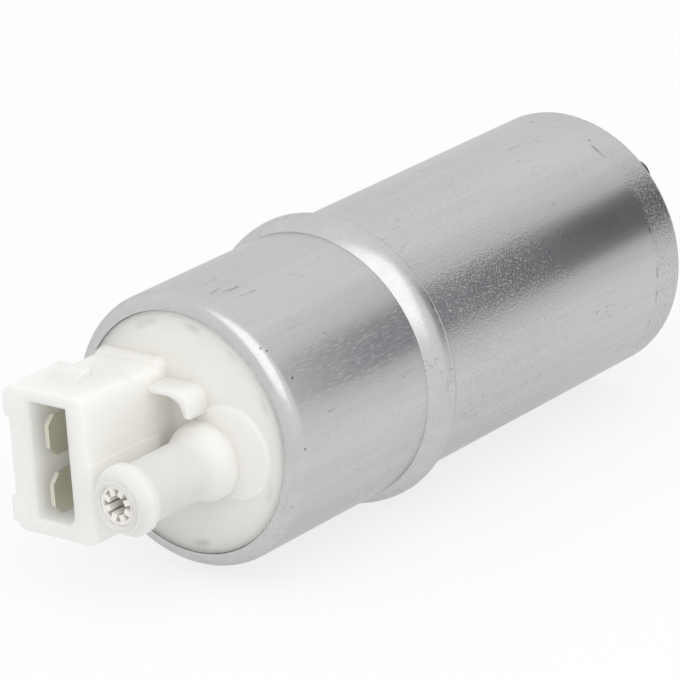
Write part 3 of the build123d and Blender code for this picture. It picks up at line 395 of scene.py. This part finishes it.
# Every finish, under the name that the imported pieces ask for
along_y = 1
finishes = {
    "satin_aluminium": satin_aluminium(),
    "white_acetal": white_acetal(),
    "ivory_nylon": plain_plastic(
        "ivory_nylon", (0.93, 0.915, 0.87), (0.92, 0.88, 0.80), 0.45,
        Subsurface_Weight=0.6, Subsurface_Radius=(0.9, 0.95, 1.0), Subsurface_Scale=0.5 * MM,
    ),
    "tinned_terminal": plain_metal(
        "tinned_terminal", (0.66, 0.65, 0.56), (0.72, 0.71, 0.63), 0.48, 0.15 * MM, along_y,
    ),
    "seal_rubber": plain_plastic("seal_rubber", (0.018, 0.018, 0.018), (0.04, 0.04, 0.04), 0.6),
    "black_plastic": plain_plastic(
        "black_plastic", (0.022, 0.022, 0.024), (0.05, 0.05, 0.05), 0.42,
    ),
    "phenolic": plain_plastic("phenolic", (0.10, 0.04, 0.02), (0.16, 0.07, 0.035), 0.45),
    "carbon": pitted("carbon", (0.03, 0.03, 0.03), (0.06, 0.06, 0.06), 0.5, 0.0, 0.3 * MM),
    "copper": plain_metal("copper", (0.72, 0.32, 0.18), (0.50, 0.22, 0.13), 0.28, 0.12 * MM),
    "enamelled_copper": wound_copper(),
    "ferrite": pitted("ferrite", (0.05, 0.05, 0.055), (0.08, 0.08, 0.085), 0.6, 0.0, 0.35 * MM),
    "spring_steel": plain_metal(
        "spring_steel", (0.50, 0.50, 0.51), (0.60, 0.60, 0.61), 0.22, 0.1 * MM,
    ),
    "ground_steel": plain_metal(
        "ground_steel", (0.58, 0.58, 0.59), (0.66, 0.66, 0.67), 0.16, 0.08 * MM, along_y,
    ),
    "sintered_steel": pitted(
        "sintered_steel", (0.27, 0.27, 0.28), (0.36, 0.36, 0.37), 0.42, 1.0, 0.22 * MM,
    ),
    "lamination_steel": laminated_steel(),
    "flux_steel": plain_metal(
        "flux_steel", (0.42, 0.42, 0.40), (0.52, 0.51, 0.47), 0.38, 0.3 * MM,
    ),
    "cast_aluminium": pitted(
        "cast_aluminium", (0.52, 0.52, 0.53), (0.60, 0.60, 0.61), 0.4, 1.0, 0.5 * MM,
    ),
    "sintered_bronze": pitted(
        "sintered_bronze", (0.48, 0.33, 0.15), (0.60, 0.43, 0.22), 0.4, 1.0, 0.2 * MM,
    ),
}
for subpart in frame["record"]["subparts"]:
    piece = nodes[subpart["node"]]
    piece.data.materials.clear()
    piece.data.materials.append(finishes[subpart["material_slot"]])


# Springs and leads, each shown by a merged, smoothly shaded copy of its CAD piece
weld_distance = 0.002 * MM
sharp_corner = math.radians(50)


def pliable(node, wire_finish):
    """A merged, smoothly shaded copy of a CAD piece that stands for it, while the piece itself is
    hidden.
    """
    mesh = nodes[node].data.copy()
    shape = bmesh.new()
    shape.from_mesh(mesh)
    bmesh.ops.remove_doubles(shape, verts=shape.verts, dist=weld_distance)
    bmesh.ops.recalc_face_normals(shape, faces=shape.faces)
    shape.to_mesh(mesh)
    shape.free()
    mesh.shade_smooth()
    mesh.set_sharp_from_angle(angle=sharp_corner)
    mesh.materials.clear()
    mesh.materials.append(finishes[wire_finish])
    piece = bpy.data.objects.new(node + "_wire", mesh)
    bpy.context.scene.collection.objects.link(piece)
    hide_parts(node)
    return piece


def coil_spring(node):
    """A spring's stand-in copy, held to the pump's body, with a mesh of its own."""
    spring = pliable(node, "spring_steel")
    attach(spring, "pump")
    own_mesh(spring)


def brush_lead(polarity):
    """A stranded lead's stand-in copy, with its place baked into its mesh."""
    lead = pliable("brush_lead_" + polarity, "copper")
    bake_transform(lead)


for polarity in ("positive", "negative"):
    coil_spring(
        "brush_spring_" + polarity,
    )
    brush_lead(polarity)
coil_spring(
    "check_valve_spring",
)
coil_spring(
    "relief_valve_spring",
)


# Stage: floor, surround, softbox and graded card

def ray_is_seen(tree):
    """One for a ray from the camera, a reflection or clear plastic, and nothing for other rays."""
    path = tree.nodes.new("ShaderNodeLightPath")
    value = path.outputs["Is Camera Ray"]
    for other in ("Is Glossy Ray", "Is Transmission Ray"):
        either = tree.nodes.new("ShaderNodeMath")
        either.operation = "MAXIMUM"
        tree.links.new(value, either.inputs[0])
        tree.links.new(path.outputs[other], either.inputs[1])
        value = either.outputs["Value"]
    return value


def shown_white(material, colour, seen_colour, lift):
    """A matt floor that the camera and the metal see lifted to white, with a light shadow kept."""
    tree = material.node_tree
    tree.nodes.clear()
    output = tree.nodes.new("ShaderNodeOutputMaterial")
    total = tree.nodes.new("ShaderNodeAddShader")
    matt = tree.nodes.new("ShaderNodeBsdfDiffuse")
    glow = tree.nodes.new("ShaderNodeEmission")
    seen = ray_is_seen(tree)
    paint = tree.nodes.new("ShaderNodeMapRange")
    paint.inputs["To Min"].default_value = colour
    paint.inputs["To Max"].default_value = seen_colour
    tree.links.new(seen, paint.inputs["Value"])
    tree.links.new(paint.outputs["Result"], matt.inputs["Color"])
    level = tree.nodes.new("ShaderNodeMath")
    level.operation = "MULTIPLY"
    level.inputs[1].default_value = lift
    tree.links.new(seen, level.inputs[0])
    tree.links.new(level.outputs["Value"], glow.inputs["Strength"])
    tree.links.new(matt.outputs["BSDF"], total.inputs[0])
    tree.links.new(glow.outputs["Emission"], total.inputs[1])
    tree.links.new(total.outputs["Shader"], output.inputs["Surface"])


def make_floor():
    floor_height = -bead_radius - floor_gap
    bpy.ops.mesh.primitive_plane_add(size=floor_size, location=(0, 0, floor_height))
    floor = bpy.context.object
    floor.name = "floor"
    paint = bpy.data.materials.new("pale_floor")
    paint.use_nodes = True
    shown_white(paint, floor_colour, floor_seen_colour, floor_lift)
    floor.data.materials.append(paint)


def make_surround():
    world = bpy.data.worlds.new("white_surround")
    bpy.context.scene.world = world
    world.use_nodes = True
    tree = world.node_tree
    background = tree.nodes["Background"]
    background.inputs["Color"].default_value = (1, 1, 1, 1)
    level = tree.nodes.new("ShaderNodeMapRange")
    level.inputs["To Min"].default_value = surround_level
    level.inputs["To Max"].default_value = backdrop_level
    tree.links.new(ray_is_seen(tree), level.inputs["Value"])
    tree.links.new(level.outputs["Result"], background.inputs["Strength"])


def make_softbox():
    light = bpy.data.lights.new("softbox", "AREA")
    light.size = softbox_size
    light.energy = softbox_power
    lamp = bpy.data.objects.new("softbox", light)
    bpy.context.scene.collection.objects.link(lamp)
    lamp.location = softbox_place
    lamp.rotation_euler = (-softbox_place).to_track_quat("-Z", "Y").to_euler()


def graded_paint():
    """Pale grey, with a dark bluish band that deepens towards the inlet, and white at the top."""
    paint = Finish("graded_card", (0, 0, 0), 1.0, Specular_IOR_Level=0.0)
    turn = paint.work("ARCTAN2", paint.along("Z"), paint.along("X"))

    def up_the_card(span, levels):
        """A level that runs from one value to another over a span of degrees."""
        low, high = (math.radians(angle) for angle in span)
        return paint.ramp(turn, low, high, *levels)

    begun, not_ended = up_the_card(dark_begins, (0, 1)), up_the_card(dark_ends, (1, 0))
    dark = paint.work("MULTIPLY", begun, not_ended)
    depth = paint.ramp(paint.along("Y"), *dark_stations, *dark_depths)
    deep = paint.work("MULTIPLY", dark, depth)
    low, top = up_the_card(low_part, low_levels), up_the_card(top_part, (0, top_gain))
    pale = paint.work("ADD", low, top)
    level = paint.work("MULTIPLY", pale, paint.work("SUBTRACT", 1, deep))
    colour = paint.add("ShaderNodeMix", data_type="RGBA")
    colour.inputs["A"].default_value = (1, 1, 1, 1)
    colour.inputs["B"].default_value = dark_colour
    paint.link(dark, colour.inputs["Factor"])
    paint.link(colour.outputs["Result"], paint.shader.inputs["Emission Color"])
    paint.link(level, paint.shader.inputs["Emission Strength"])
    return paint.material


def make_card():
    """A curved card beside the pump, which only reflections see."""
    first, last = card_span
    strip = bmesh.new()
    strip.edges.new([strip.verts.new(around(card_radius, first, y)) for y in card_reach])
    bmesh.ops.spin(
        strip, geom=strip.verts[:] + strip.edges[:], cent=(0, 0, 0), axis=(0, -1, 0),
        angle=math.radians(last - first), steps=card_steps,
    )
    sheet = bpy.data.meshes.new("graded_card")
    strip.to_mesh(sheet)
    strip.free()
    card = bpy.data.objects.new("graded_card", sheet)
    bpy.context.scene.collection.objects.link(card)
    sheet.materials.append(graded_paint())
    card.visible_camera = False
    card.visible_diffuse = False
    card.visible_shadow = False


def make_camera():
    data = bpy.data.cameras.new("photograph")
    data.lens = camera_lens
    data.sensor_width = camera_sensor
    data.sensor_fit = "HORIZONTAL"
    data.clip_start, data.clip_end = camera_clip
    camera = bpy.data.objects.new("photograph", data)
    bpy.context.scene.collection.objects.link(camera)
    aimed = (camera_target - camera_place).to_track_quat("-Z", "Y").to_matrix()
    rolled = aimed @ Matrix.Rotation(math.radians(camera_roll), 3, "Z")
    camera.matrix_world = Matrix.Translation(camera_place) @ rolled.to_4x4()
    bpy.context.scene.camera = camera


make_floor()
make_surround()
make_softbox()
make_card()
make_camera()
bpy.context.scene.view_settings.view_transform = "Standard"
